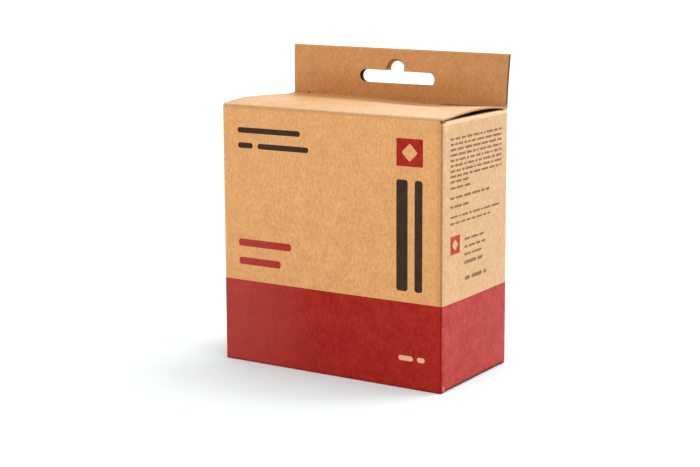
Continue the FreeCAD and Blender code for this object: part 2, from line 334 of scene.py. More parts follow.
class Profile:
    """A folded section: corners of (across, z, radius), walked with the board's outer face on one side."""

    STEP = 0.05

    def __init__(self, corners, outer_side):
        walked = []
        for i, (across, z, radius) in enumerate(corners):
            if radius:
                walked += fillet(corners[i - 1][:2], (across, z), corners[i + 1][:2], radius, 16)
            else:
                walked.append(Vector((across, z)))
        self.points, self.at_length = [walked[0]], [0.0]
        for a, b in zip(walked, walked[1:]):
            length = (b - a).length
            if length < 1e-6:
                continue
            count = max(1, round(length / self.STEP))
            for k in range(1, count + 1):
                self.points.append(a.lerp(b, k / count))
                self.at_length.append(self.at_length[-1] + length / count)
        self.normals = []
        reach = 3
        for i in range(len(self.points)):
            ahead = self.points[min(i + reach, len(self.points) - 1)]
            behind = self.points[max(i - reach, 0)]
            along = (ahead - behind).normalized()
            self.normals.append(Vector((-along.y, along.x)) * outer_side)
        self.length = self.at_length[-1]

    def place(self, distance, w):
        """The point at a distance along the outer face, and w below it."""
        high = bisect.bisect_right(self.at_length, distance, 1, len(self.at_length) - 1)
        low = high - 1
        share = (distance - self.at_length[low]) / (self.at_length[high] - self.at_length[low])
        point = self.points[low].lerp(self.points[high], share)
        normal = self.normals[low].lerp(self.normals[high], share).normalized()
        return point - normal * w

    def nearest(self, across, z):
        """The distance along the profile of its nearest point to a place."""
        target = Vector((across, z))
        best = min(range(len(self.points)), key=lambda i: (self.points[i] - target).length)
        return self.at_length[best]


def wall_surface(corner_x, corner_y, degrees, length, start_bent=True, end_bent=True, bulge=PANEL_BULGE):
    """The surface of an upright panel, and the range of its distance u along the outer face."""
    turn = Matrix.Rotation(math.radians(degrees), 3, "Z")
    corner = Vector((corner_x, corner_y, 0))
    first = CORNER_RADIUS if start_bent else 0.0
    last = length - CORNER_RADIUS if end_bent else length
    half_arc = CORNER_RADIUS * math.pi / 4
    u_range = (
        first - half_arc if start_bent else 0.0,
        last + half_arc if end_bent else length,
    )

    def surface(u, z, w):
        groove = 0.0
        for bent, edge in ((start_bent, u_range[0] + GROOVE_AT), (end_bent, u_range[1] - GROOVE_AT)):
            if bent:
                groove += GROOVE_DEPTH * bump(u - edge, GROOVE_WIDTH)
        depth = w + groove * max(0.0, 1 - w / BOARD)
        if u < first or u > last:
            centre = first if u < first else last
            angle = (u - centre) / CORNER_RADIUS
            reach = CORNER_RADIUS - depth
            local = Vector((centre + reach * math.sin(angle), CORNER_RADIUS - reach * math.cos(angle), z))
        else:
            share_u = (u - first) / (last - first)
            share_z = min(1.0, max(0.0, z / BODY_TOP))
            swell = bulge * math.sin(math.pi * share_u) * math.sin(math.pi * share_z)
            local = Vector((u, depth - swell, z))
        return corner + turn @ local

    return surface, u_range


def wall_cuts(u_range, start_bent=True, end_bent=True):
    """Cuts across an upright panel: close together at its corners, and wide apart between them."""
    near = 1.5
    low, high = u_range
    cuts = span(low, low + near, CREASE_STEP) if start_bent else []
    cuts += span(high - near, high, CREASE_STEP) if end_bent else []
    return cuts + [low + near, high - near] + span(low + near, high - near, 4.0)


# --- materials ----------------------------------------------------------------
# A board's grain is how far its pulp and fibres are stretched on each axis.
UPRIGHT = (1.0, 1.0, 0.6)
ALONG_DEPTH = (1.0, 0.6, 1.0)
LEVEL = (1.0, 0.75, 1.0)


class Nodes:
    """Short calls for building a material's nodes."""

    def __init__(self, name):
        self.material = bpy.data.materials.new(name)
        self.material.use_nodes = True
        self.tree = self.material.node_tree
        self.shader = self.tree.nodes["Principled BSDF"]

    def add(self, kind, **settings):
        node = self.tree.nodes.new(kind)
        for key, value in settings.items():
            setattr(node, key, value)
        return node

    def join(self, output, target):
        self.tree.links.new(output, target)

    def place(self, scale=(1.0, 1.0, 1.0)):
        """Object coordinates, stretched by a scale on each axis."""
        where = self.add("ShaderNodeTexCoord")
        stretch = self.add("ShaderNodeMapping")
        stretch.inputs["Scale"].default_value = scale
        self.join(where.outputs["Object"], stretch.inputs["Vector"])
        return stretch.outputs["Vector"]

    def noise(self, place, scale, detail=2.0, roughness=0.5, distortion=0.0):
        node = self.add("ShaderNodeTexNoise")
        node.inputs["Scale"].default_value = scale
        node.inputs["Detail"].default_value = detail
        node.inputs["Roughness"].default_value = roughness
        node.inputs["Distortion"].default_value = distortion
        self.join(place, node.inputs["Vector"])
        return node.outputs["Fac"]

    def remap(self, value, low, high, to_low=0.0, to_high=1.0, smooth=False):
        node = self.add("ShaderNodeMapRange")
        if smooth:
            node.interpolation_type = "SMOOTHSTEP"
        for name, number in (("From Min", low), ("From Max", high), ("To Min", to_low), ("To Max", to_high)):
            node.inputs[name].default_value = number
        self.join(value, node.inputs["Value"])
        return node.outputs["Result"]

    def feed(self, sockets, values):
        """Sets each socket to a number or a colour, or joins an output to it."""
        for socket, value in zip(sockets, values):
            if isinstance(value, (int, float)):
                socket.default_value = value
            elif isinstance(value, tuple):
                socket.default_value = (*value, 1.0)
            else:
                self.join(value, socket)

    def maths(self, operation, *values):
        node = self.add("ShaderNodeMath", operation=operation)
        self.feed(node.inputs, values)
        return node.outputs[0]

    def mix(self, share, first, second):
        node = self.add("ShaderNodeMix", data_type="RGBA")
        self.feed([s for s in node.inputs if s.enabled], (share, first, second))
        return next(s for s in node.outputs if s.enabled)

    def finish(self, colour, roughness, gloss, height, strength):
        self.shader.inputs["Specular IOR Level"].default_value = gloss
        self.join(colour, self.shader.inputs["Base Color"])
        self.join(roughness, self.shader.inputs["Roughness"])
        node = self.add("ShaderNodeBump")
        node.inputs["Strength"].default_value = strength
        node.inputs["Distance"].default_value = 0.03 * MM
        self.join(height, node.inputs["Height"])
        self.join(node.outputs["Normal"], self.shader.inputs["Normal"])
        return self.material


def fibres(nodes, grain):
    """Thin curved lines where pulp fibres lie at the surface, from 0 to 1."""
    place = nodes.place(grain)
    field = nodes.noise(place, 800.0, detail=3.0, roughness=0.55, distortion=0.6)
    ridge = nodes.maths("ABSOLUTE", nodes.maths("SUBTRACT", field, 0.5))
    return nodes.remap(ridge, 0.0, 0.018, 1.0, 0.0, smooth=True)


def strip(nodes, axis, middle, half, soft):
    """1 within half a width of a place on one axis, in millimetres, fading out over soft."""
    where = nodes.add("ShaderNodeTexCoord")
    split = nodes.add("ShaderNodeSeparateXYZ")
    nodes.join(where.outputs["Object"], split.inputs["Vector"])
    distance = nodes.maths("ABSOLUTE", nodes.maths("SUBTRACT", split.outputs[axis], middle * MM))
    return nodes.remap(distance, half * MM, (half + soft) * MM, 1.0, 0.0, smooth=True)


def wear_and_painted_light(nodes, colour, marks):
    """Lays marks over a colour: wear and specks, and painted shade, shadow, highlight and sheen.

    A mark is a list of strips that it needs together, an amount, a tint and how patchy it is."""
    for strips, amount, tint, patchy in marks:
        share = amount
        for one in strips:
            share = nodes.maths("MULTIPLY", strip(nodes, *one), share)
        if patchy:
            spots = nodes.noise(nodes.place(), 1300.0, detail=3.0, roughness=0.7)
            share = nodes.maths("MULTIPLY", share, nodes.remap(spots, 0.38, 0.62, 1 - patchy, 1.0))
        colour = nodes.mix(share, colour, tint)
    return colour


def paperboard(name, pale, mid, dark, roughness=0.5, depth=1.0, grain=UPRIGHT, gloss=0.3, marks=()):
    """Uncoated board: cloudy pulp, fibres and small flecks."""
    nodes = Nodes(name)
    place = nodes.place(grain)
    even = nodes.place()
    clouds = nodes.noise(even, 240.0, detail=4.0, roughness=0.65)
    pulp = nodes.noise(place, 1400.0, detail=3.0, roughness=0.65)
    flecks = nodes.noise(even, 1700.0, detail=1.0)
    threads = fibres(nodes, grain)
    colour = nodes.mix(nodes.remap(clouds, 0.3, 0.7, 0.5 - 0.4 * depth, 0.5 + 0.4 * depth), mid, pale)
    colour = nodes.mix(nodes.remap(pulp, 0.38, 0.72, 0.0, 0.62 * depth), colour, dark)
    colour = nodes.mix(nodes.maths("MULTIPLY", threads, 0.2 * depth), colour, pale)
    colour = nodes.mix(nodes.remap(flecks, 0.70, 0.78, 0.0, 0.4 * depth, smooth=True), colour, dark)
    colour = wear_and_painted_light(nodes, colour, marks)
    rough = nodes.remap(pulp, 0.3, 0.7, roughness - 0.06, roughness + 0.08)
    height = nodes.maths("ADD", pulp, nodes.maths("MULTIPLY", threads, 0.4))
    return nodes.finish(colour, rough, gloss, height, 0.35)


def ink(name, solid, thin, roughness=0.46, spread=0.6, grain=UPRIGHT, gloss=0.10, marks=()):
    """A flat ink on board: the pulp shows through as thin cloudy patches."""
    nodes = Nodes(name)
    place = nodes.place(grain)
    even = nodes.place()
    clouds = nodes.noise(even, 190.0, detail=5.0, roughness=0.7)
    pulp = nodes.noise(place, 1000.0, detail=3.0, roughness=0.7)
    threads = fibres(nodes, grain)
    share = nodes.remap(clouds, 0.35, 0.75, 0.0, 0.9 * spread)
    share = nodes.maths("ADD", share, nodes.remap(pulp, 0.42, 0.72, 0.0, 0.9 * spread))
    share = nodes.maths("ADD", share, nodes.maths("MULTIPLY", threads, spread * 0.35))
    colour = wear_and_painted_light(nodes, nodes.mix(share, solid, thin), marks)
    rough = nodes.remap(pulp, 0.3, 0.7, roughness - 0.05, roughness + 0.08)
    return nodes.finish(colour, rough, gloss, pulp, 0.3)


KRAFT = ((0.68, 0.342, 0.127), (0.585, 0.268, 0.088), (0.39, 0.155, 0.042))
# KRAFT darkened and deepened as painted shade, for the tab, which stands where less light falls than on the
# front.
TAB_KRAFT_PAINTED_SHADE = ((0.56, 0.255, 0.088), (0.485, 0.207, 0.062), (0.33, 0.12, 0.032))
# KRAFT made paler and less saturated as a painted sheen, for the lid's top and its tuck flap.
LID_KRAFT_PAINTED_SHEEN = ((0.59, 0.355, 0.160), (0.50, 0.278, 0.110), (0.36, 0.180, 0.064))
# KRAFT made paler and less saturated as a painted sheen, for the right side panel and the top dust flaps.
SIDE_KRAFT_PAINTED_SHEEN = ((0.59, 0.36, 0.185), (0.51, 0.297, 0.142), (0.35, 0.185, 0.077))
RED = ((0.24, 0.004, 0.002), (0.385, 0.024, 0.012))
# RED made paler as a painted sheen, for the band on the right side panel.
SIDE_RED_PAINTED_SHEEN = ((0.285, 0.015, 0.012), (0.46, 0.066, 0.052))
# A pale tint, used for worn spots and also as painted highlight and sheen on edges, creases and the lid.
CREAM_WEAR_AND_HIGHLIGHT = (0.80, 0.62, 0.46)
RED_PAINTED_SHEEN = (0.42, 0.066, 0.056)
SHADE = (0.17, 0.075, 0.025)
RED_SHADE = (0.13, 0.003, 0.002)
# A near black, used for specks and also as painted shade in gaps, creases and on shaded cut edges.
SPECK_AND_SHADE = (0.03, 0.014, 0.008)

RIGHT_FOLD = ("X", RIGHT - 0.25, 0.42, 0.35)
SIDE_HEAD = ("Z", SIDE_TOP - 0.5, 0.45, 0.45)
SIDE_EDGE = ("X", RIGHT, 1.0, 0.5)
# Painted shade: a near-black spot in the gap at the top of the front right corner.
CORNER_GAP_PAINTED_SHADE = ([("X", RIGHT, 0.9, 0.3), ("Z", SIDE_TOP, 0.35, 0.3), ("Y", FRONT, 1.2, 0.5)], 0.75, SPECK_AND_SHADE, 0.0)
FRONT_MARKS = [
    # Along the right fold: painted shade in its groove, and darker crushed fibres.
    ([RIGHT_FOLD], 0.62, SHADE, 0.25),
    # A wider soft painted shade beside the right fold.
    ([("X", RIGHT - 0.8, 0.5, 1.2)], 0.25, SHADE, 0.3),
    # Painted highlight along the left edge.
    ([("X", LEFT, 0.3, 0.5)], 0.30, CREAM_WEAR_AND_HIGHLIGHT, 0.6),
    # Painted shadow along the front's top edge, under the lid.
    ([("Z", FRONT_TOP + 0.4, 0.2, 0.5)], 0.30, SHADE, 0.6),
    CORNER_GAP_PAINTED_SHADE,
]
FRONT_RED_MARKS = [
    # Along the right fold: painted shade in its groove, and darker crushed ink.
    ([RIGHT_FOLD], 0.75, RED_SHADE, 0.2),
    # Painted sheen, paler towards the left end.
    ([("X", LEFT, 4.0, 36.0)], 0.42, RED_PAINTED_SHEEN, 0.25),
    # Painted shadow along the foot.
    ([("Z", 0.0, 0.3, 0.5)], 0.5, RED_SHADE, 0.4),
    # Darker along the band's top edge.
    ([("Z", BAND_TOP, 0.15, 0.25)], 0.35, RED_SHADE, 0.5),
]
SIDE_MARKS = [
    # Painted highlight along the top crease.
    ([SIDE_HEAD, SIDE_EDGE], 0.40, CREAM_WEAR_AND_HIGHLIGHT, 0.35),
    # A worn pale patch near the top front corner.
    ([("Y", FRONT + 1.4, 0.3, 0.5), ("Z", SIDE_TOP - 2.0, 0.5, 1.0)], 0.35, CREAM_WEAR_AND_HIGHLIGHT, 0.6),
    # Paler along the rear edge.
    ([("Y", BACK, 0.4, 0.5)], 0.30, CREAM_WEAR_AND_HIGHLIGHT, 0.5),
    CORNER_GAP_PAINTED_SHADE,
]
SIDE_RED_MARKS = [
    ([("Y", FRONT + 1.1, 0.2, 0.4), ("Z", 1.2, 0.4, 0.7)], 0.35, CREAM_WEAR_AND_HIGHLIGHT, 0.7),
    ([("Z", BAND_TOP, 0.15, 0.25)], 0.30, RED_SHADE, 0.5),
]
TAB_MARKS = [
    # A small dark speck.
    ([("X", -32.9, 0.40, 0.25), ("Z", LID_HINGE.z + 0.8, 0.35, 0.25)], 0.95, SPECK_AND_SHADE, 0.0),
    # Painted shade in the crease at the tab's foot, towards the right.
    ([("X", 24.0, 5.0, 5.0), ("Z", LID_HINGE.z - 0.3, 0.15, 0.25)], 0.7, SPECK_AND_SHADE, 0.4),
    # Painted shade low on the tab, above its crease.
    ([("Z", LID_HINGE.z + 0.5, 0.3, 2.0)], 0.15, SHADE, 0.2),
    # Painted shade, darker towards the right end.
    ([("X", RIGHT, 4.0, 60.0)], 0.17, SHADE, 0.0),
]
LID_MARKS = [
    # Painted sheen, paler towards the right end.
    ([("X", RIGHT, 6.0, 60.0)], 0.25, CREAM_WEAR_AND_HIGHLIGHT, 0.0),
    # Painted shade on the lid's steeper rise near the tab's foot, towards the left.
    ([("Y", LID_HINGE.y, 3.0, 7.0), ("X", LEFT, 20.0, 60.0)], 0.55, TAB_KRAFT_PAINTED_SHADE[1], 0.0),
]
TAB_CUT_MARKS = [
    # Painted shade between the plies at the slot's left end.
    ([("X", SLOT_SHIFT - SLOT_LENGTH / 2, 1.6, 0.8)], 0.93, SPECK_AND_SHADE, 0.0),
    # Painted shade along the tab's right cut edge.
    ([("X", RIGHT, 0.5, 0.3)], 0.7, SPECK_AND_SHADE, 0.0),
]
kraft = paperboard("kraft_board", *KRAFT)
kraft_front = paperboard("kraft_board_front", *KRAFT, marks=FRONT_MARKS)
kraft_side_painted_sheen = paperboard("kraft_board_side_painted_sheen", *SIDE_KRAFT_PAINTED_SHEEN, marks=SIDE_MARKS)
# The tab's kraft: painted shade in its colour, and painted shade in the crease at its foot and towards its
# right end.
kraft_tab_painted_shade = paperboard("kraft_board_tab_painted_shade", *TAB_KRAFT_PAINTED_SHADE, marks=TAB_MARKS)
kraft_level_painted_sheen = paperboard("kraft_board_level_painted_sheen", *LID_KRAFT_PAINTED_SHEEN, 0.5, 1.2, LEVEL, marks=LID_MARKS)
kraft_inner = paperboard("kraft_board_inner", (0.58, 0.37, 0.18), (0.50, 0.30, 0.13), (0.37, 0.20, 0.08), 0.7)
kraft_edge = paperboard(
    "kraft_board_edge", (0.48, 0.27, 0.12), (0.38, 0.20, 0.08), (0.24, 0.12, 0.05), 0.8, 1.4,
)
shaded_edge = paperboard(
    "kraft_board_shaded_edge", (0.15, 0.05, 0.035), (0.11, 0.035, 0.025), (0.06, 0.02, 0.015), 0.8,
)
# The tab plies' inner faces, in the tab's painted-shade kraft, with painted shade at the slot's left end and
# along the right edge.
tab_inner = paperboard("kraft_board_tab_inner", *TAB_KRAFT_PAINTED_SHADE, 0.7, gloss=0.05, marks=TAB_CUT_MARKS)
# The tab's cut edges, with the same painted shade at the slot's left end and the right edge.
tab_edge = paperboard(
    "kraft_board_tab_edge", (0.44, 0.24, 0.10), (0.34, 0.17, 0.07), (0.22, 0.10, 0.04), 0.8,
    gloss=0.05, marks=TAB_CUT_MARKS,
)
red_ink = ink("red_ink", *RED)
red_ink_front = ink("red_ink_front", *RED, marks=FRONT_RED_MARKS)
red_ink_side_painted_sheen = ink("red_ink_side_painted_sheen", *SIDE_RED_PAINTED_SHEEN, marks=SIDE_RED_MARKS)
red_ink_level = ink("red_ink_level", *RED, grain=ALONG_DEPTH)
dark_ink = ink("dark_ink", (0.024, 0.012, 0.007), (0.070, 0.034, 0.017), spread=0.35)
light_ink = ink("light_ink", (0.62, 0.40, 0.22), (0.50, 0.16, 0.09), spread=0.2)
brown_ink = ink("brown_ink", (0.13, 0.065, 0.035), (0.30, 0.16, 0.08))
glue = ink("hot_melt", (0.55, 0.42, 0.24), (0.70, 0.58, 0.38), 0.3, gloss=0.5)
chalk = paperboard("pressed_chalk", (0.86, 0.86, 0.85), (0.80, 0.80, 0.79), (0.66, 0.66, 0.66), 0.9)
wrap = paperboard("wrapping_paper", (0.82, 0.81, 0.79), (0.78, 0.77, 0.74), (0.66, 0.65, 0.62), 0.4, 0.5)
WALL_MATERIALS = [kraft, kraft_inner, kraft_edge, red_ink]
FRONT_MATERIALS = [kraft_front, kraft_inner, kraft_edge, red_ink_front, dark_ink, light_ink]
SIDE_MATERIALS = [kraft_side_painted_sheen, kraft_inner, kraft_edge, red_ink_side_painted_sheen, brown_ink]
LEVEL_MATERIALS = [kraft_level_painted_sheen, kraft_inner, kraft_edge, kraft_tab_painted_shade]
TOP_DUST_MATERIALS = [kraft_side_painted_sheen, kraft_inner, kraft_edge]
BOTTOM_MATERIALS = [red_ink_level, kraft_inner, shaded_edge]
TAB_MATERIALS = [kraft_tab_painted_shade, tab_inner, tab_edge]
REAR_PLY_MATERIALS = [kraft, tab_inner, tab_edge]


def banded(u, z):
    """The red band round the foot of the carton."""
    return 3 if z < BAND_TOP else 0


# --- plain print that stands in for the words ---------------------------------
def bar(u_low, u_high, v_middle, height, upright_bar=False):
    """A plain bar with rounded ends, lying along u, or along v if it is upright."""
    low, high = v_middle - height / 2, v_middle + height / 2
    radius = min(0.45 * height, 0.8)
    corners = [(u, v, radius) for u, v in square(u_low, u_high, low, high)]
    if upright_bar:
        corners = [(v, u, r) for u, v, r in reversed(corners)]
    return rounded(corners, 3)


def words(start, end, middle, height, seed):
    """A row of plain bars of different lengths, as far apart as words."""
    chance = random.Random(seed)
    gap = 0.62 * height + 0.2
    row = []
    at = start
    while at < end - 1.0:
        length = min(chance.uniform(1.8, 7.5) * height, end - at)
        if end - at - length < 1.6:
            length = end - at
        row.append(bar(at, at + length, middle, height))
        at += length + gap
    return row


def square(u_low, u_high, v_low, v_high):
    return [(u_low, v_low), (u_high, v_low), (u_high, v_high), (u_low, v_high)]


def diamond(u, v, reach):
    return rounded([(u - reach, v, 0.5), (u, v - reach, 0.5), (u + reach, v, 0.5), (u, v + reach, 0.5)], 3)


def front_prints():
    """Dark, red and light shapes on the front panel, at u = 0 on its left edge."""
    middle = WIDTH / 2
    dark = [bar(5.9, 29.0, 73.2, 1.7), bar(6.0, 11.6, 68.5, 1.7), bar(13.4, 32.0, 68.5, 1.7)]
    dark += [bar(29.4, 62.3, middle + 25.5, 3.8, True), bar(29.4, 62.3, middle + 31.0, 2.6, True)]
    red = [bar(5.8, 25.4, 38.1, 2.3), bar(5.9, 21.5, 32.3, 2.3)]
    red.append(square(middle + 23.6, middle + 32.4, 66.2, 74.3))
    light = [bar(middle + 24.3, middle + 29.2, 9.2, 1.5), bar(middle + 30.6, middle + 33.2, 9.2, 1.5)]
    prints = [(loop, 4) for loop in dark]
    prints += [(loop, 3) for loop in red]
    prints += [(loop, 5) for loop in light]
    prints.append((diamond(middle + 28.0, 70.25, 2.7), 0))
    return prints


def side_prints():
    """Rows of small bars on the right side panel, at u = 0 on its front edge."""
    margin = 4.2
    beside = 12.7
    rows = [(margin, 35.8, 74.2 - 1.55 * i, 0.66) for i in range(8)]
    rows += [(margin, 15.0, 61.8, 0.66), (margin, 16.0, 60.0, 0.7), (margin, 29.6, 57.1, 0.75)]
    rows += [(margin, 15.2, 54.5, 0.75), (margin, 34.4, 51.5, 0.62), (margin, 28.8, 49.6, 0.62)]
    rows += [(beside, 24.6, 44.0, 0.7), (beside, 25.6, 41.7, 0.7), (beside, 23.2, 39.4, 0.7)]
    rows += [(beside, 24.0, 37.0, 1.05), (beside + 0.3, 26.5, 32.2, 1.15)]
    prints = []
    for seed, (start, end, middle, height) in enumerate(rows):
        prints += [(loop, 4) for loop in words(start, end, middle, height, seed + 3)]
    prints.append((square(4.4, 10.0, 40.5, 45.9), 3))
    prints.append((diamond(7.2, 43.2, 1.7), 0))
    return prints


# --- the four walls -----------------------------------------------------------
def upright(name, node, surface, u_range, outline, bent=(True, True), prints=(), materials=WALL_MATERIALS):
    """One of the four walls, with the red band round its foot."""
    z_cuts = span(0.0, BAND_TOP, 3.0) + [BAND_TOP] + span(BAND_TOP, BODY_TOP, 3.0)
    piece = board(
        name, surface, outline, materials, prints=prints,
        u_cuts=wall_cuts(u_range, *bent), v_cuts=z_cuts, paint=banded,
    )
    fixed(piece, node)


def front_wall():
    surface, u_range = wall_surface(LEFT, FRONT, 0, WIDTH)
    low, high = u_range
    upright(
        "front_panel_board", "front_panel", surface, u_range,
        [(low, 0.0), (high, 0.0), (high, FRONT_TOP + FRONT_LIFT_RIGHT), (low, FRONT_TOP + FRONT_LIFT_LEFT)],
        prints=front_prints(), materials=FRONT_MATERIALS,
    )


def side_outline(u_range, base, top):
    """A side panel's outline. It gives way to its dust flaps' boards where they bend at the creases."""
    low, high = u_range
    base_crease = SIDE_BASE + CREASE_RADIUS
    top_crease = SIDE_TOP - CREASE_RADIUS
    return [
        (low, SIDE_BASE), (base[0], SIDE_BASE), (base[0], base_crease), (base[1], base_crease),
        (base[1], SIDE_BASE), (high, SIDE_BASE),
        (high, SIDE_TOP), (top[1], SIDE_TOP), (top[1], top_crease), (top[0], top_crease),
        (top[0], SIDE_TOP), (low, SIDE_TOP),
    ]


def right_wall():
    surface, u_range = wall_surface(RIGHT, FRONT, 90, DEPTH)
    base = [y - FRONT for y in dust_reach("right_bottom_dust_flap")]
    top = [y - FRONT for y in dust_reach("right_top_dust_flap")]
    upright(
        "right_side_board", "right_side_panel", surface, u_range,
        side_outline(u_range, base, top), prints=side_prints(), materials=SIDE_MATERIALS,
    )


def left_wall():
    rear = box_mm("left_side_panel")[1].y
    surface, u_range = wall_surface(LEFT, rear, 270, rear - FRONT, False)
    base = [rear - y for y in reversed(dust_reach("left_bottom_dust_flap"))]
    top = [rear - y for y in reversed(dust_reach("left_top_dust_flap"))]
    upright(
        "left_side_board", "left_side_panel", surface, u_range,
        side_outline(u_range, base, top), (False, True),
    )


def back_wall():
    length = RIGHT - SEAM_X
    surface, u_range = wall_surface(RIGHT, BACK, 180, length)
    low, high = u_range
    end = RIGHT - BOTTOM_LEFT
    outline = [
        (low, 0.0), (CORNER_RADIUS, 0.0), (CORNER_RADIUS, CREASE_RADIUS), (end, CREASE_RADIUS),
        (end, 0.0), (high, 0.0), (high, BODY_TOP), (low, BODY_TOP),
    ]
    upright("back_board", "back_panel", surface, u_range, outline)


def dust_reach(node):
    """The lowest and highest y of a dust flap's crease."""
    low, high = box_mm(node)
    return low.y, high.y


# --- the hang tab -------------------------------------------------------------
def tab_rise(z, top=TAB_TOP):
    """How far up the tab a height is, from 0 at its foot."""
    return max(0.0, (z - LID_HINGE.z) / (top - LID_HINGE.z))


def tab_shift(x, z):
    """How far the tab leans back at a place. Its right end leans more than its left."""
    lean = TAB_LEAN_LEFT + (TAB_LEAN_RIGHT - TAB_LEAN_LEFT) * (x - LEFT) / WIDTH
    return lean * tab_rise(z) ** 1.5


def tab_drop(x, z):
    """How far the tab sits below square at a place. Its fold runs down a little towards the right."""
    return TAB_DROP * tab_rise(z) * (x - LEFT) / WIDTH


def tab_bow(x, z):
    """How far the front ply stands off the rear ply, between the glued ends, the crease and the fold."""
    rise = min(1.0, tab_rise(z, TAB_TOP - FOLD_RADIUS))
    across = 1 - (abs(x) / RIGHT) ** 4
    return TAB_BOW * math.sin(math.pi * rise) ** 2 * across


def slot_loop(notch_radius, to_v):
    """The hanging slot's edge: round ends, and a round notch above its middle."""
    radius = SLOT_HEIGHT / 2
    middle_z = SLOT_BASE + radius
    reach = SLOT_LENGTH / 2 - radius
    notch_z = middle_z + radius + NOTCH_RISE
    points = []

    def sweep(x, z, size, start, end, steps):
        for i in range(steps + 1):
            angle = math.radians(start + (end - start) * i / steps)
            points.append((x + size * math.cos(angle), to_v(z + size * math.sin(angle))))

    dip = math.degrees(math.asin(NOTCH_RISE / notch_radius))
    sweep(SLOT_SHIFT + reach, middle_z, radius, -90, 90, 14)
    sweep(0, notch_z, notch_radius, -dip, 180 + dip, 20)
    sweep(SLOT_SHIFT - reach, middle_z, radius, 90, 270, 14)
    return points


def lid_top(y):
    """Height of the lid's outer face at its right end, before it is lifted."""
    share = (y - LID_CREASE.y) / (LID_HINGE.y - LID_CREASE.y)
    return LID_HINGE.z + LID_RISE * share ** LID_SKEW * (1 - share)


def over_profile():
    """Down the front ply, over the lid and down its tuck flap."""
    corners = [
        (TAB_CENTRE, TAB_TOP, 0),
        (PLY_FRONT, TAB_TOP, FOLD_RADIUS),
        (LID_HINGE.y, LID_HINGE.z, VALLEY_RADIUS),
    ]
    steps = 40
    for i in range(1, steps):
        y = LID_HINGE.y + (LID_CREASE.y - LID_HINGE.y) * i / steps
        corners.append((y, lid_top(y), 0))
    lean = math.radians(LID_TUCK_LEAN)
    corners.append((LID_CREASE.y, LID_CREASE.z, CREASE_RADIUS))
    end = LID_TUCK_LENGTH
    corners.append((LID_CREASE.y + end * math.sin(lean), LID_CREASE.z - end * math.cos(lean), 0))
    return Profile(corners, -1)


def under_profile():
    """Down the foot of the back panel, along the bottom panel and up its tuck flap."""
    lean = math.radians(BOTTOM_TUCK_LEAN)
    end = BOTTOM_TUCK_LENGTH
    corners = [
        (BACK, 2.0, 0),
        (BACK, 0.0, CREASE_RADIUS),
        (BOTTOM_CREASE.y, 0.0, CREASE_RADIUS),
        (BOTTOM_CREASE.y + end * math.sin(lean), end * math.cos(lean), 0),
    ]
    return Profile(corners, 1)


def valley_lift(x, distance):
    """How far the crease between tab and lid rides up at the left and dips at the right.

    It fades out up the ply and over the lid."""
    reach = VALLEY if distance < VALLEY else LID_CORNER - VALLEY
    near = max(0.0, 1 - abs(distance - VALLEY) / reach)
    fade = near ** (1.5 if distance < VALLEY else 2.5)
    share = (x - LEFT) / WIDTH
    dip = VALLEY_DIP * bump(share - VALLEY_DIP_AT, VALLEY_DIP_WIDTH)
    return VALLEY_LIFT * (1 - share - dip) * fade


def lid_lift(x, distance):
    """How the lid differs across its width from its section at the right end.

    Its front crease sits higher towards the left. It is fuller at the front left, and flatter at the rear."""
    back = min(1.0, max(0.0, 1 - (distance - VALLEY) / (LID_CORNER - VALLEY)))
    left = (RIGHT - x) / WIDTH
    raised = (FRONT_LIFT_RIGHT + (FRONT_LIFT_LEFT - FRONT_LIFT_RIGHT) * left) * (1 - back) ** 2
    full = FRONT_FULL * left * math.sin(math.pi * min(1.0, back / FRONT_FULL_END))
    inward = 1 - bump(min(left, REAR_FLAT_INSET), REAR_FLAT_INSET)
    flat = REAR_FLAT * inward * (1.1 - 0.6 * left) * math.sin(math.pi * back ** 3.5)
    return raised + full - flat


OVER = over_profile()
UNDER = under_profile()
PLY_END = OVER.nearest(PLY_FRONT, LID_HINGE.z + VALLEY_MARGIN)
LID_END = OVER.nearest(LID_CREASE.y + CREASE_MARGIN, lid_top(LID_CREASE.y + CREASE_MARGIN))
VALLEY = OVER.nearest(PLY_FRONT, LID_HINGE.z)
LID_CORNER = OVER.nearest(LID_CREASE.y, LID_CREASE.z)
BOTTOM_END = UNDER.nearest(BOTTOM_CREASE.y + CREASE_MARGIN, 0.0)
TAB_END_CUTS = [36.6, 37.6, 38.4]
TAB_CUTS = [-x for x in reversed(TAB_END_CUTS)] + span(-TAB_END_CUTS[0], TAB_END_CUTS[0], 2.2) + TAB_END_CUTS


def hang_tab():
    """The two plies of the tab, each with its half of the top fold."""

    def front(x, distance, w):
        y, z = OVER.place(distance, w)
        return x, y + tab_shift(x, z) - tab_bow(x, z), z - tab_drop(x, z) + valley_lift(x, distance)

    fold = OVER.nearest(PLY_FRONT, TAB_TOP - FOLD_RADIUS)

    def to_v(z):
        return fold + (TAB_TOP - FOLD_RADIUS - z)

    ply = board(
        "tab_front_ply_board", front, square(TAB_LEFT, TAB_RIGHT, 0.0, PLY_END), TAB_MATERIALS,
        holes=[slot_loop(NOTCH_RADIUS, to_v)], u_cuts=TAB_CUTS,
        v_cuts=span(0.0, fold, FOLD_STEP) + span(fold, PLY_END, 0.9),
    )
    fixed(ply, "hang_tab_front_ply")

    rear_path = Profile([(TAB_CENTRE, TAB_TOP, 0), (BACK, TAB_TOP, FOLD_RADIUS), (BACK, BODY_TOP, 0)], 1)

    def rear(x, distance, w):
        y, z = rear_path.place(distance, w)
        return x, y + tab_shift(x, z), z - tab_drop(x, z)

    ply = board(
        "tab_rear_ply_board", rear, square(TAB_LEFT, TAB_RIGHT, 0.0, rear_path.length), REAR_PLY_MATERIALS,
        holes=[slot_loop(REAR_NOTCH_RADIUS, to_v)], u_cuts=TAB_CUTS,
        v_cuts=span(0.0, fold, FOLD_STEP) + span(fold, rear_path.length, 1.2),
    )
    fixed(ply, "hang_tab_rear_ply")


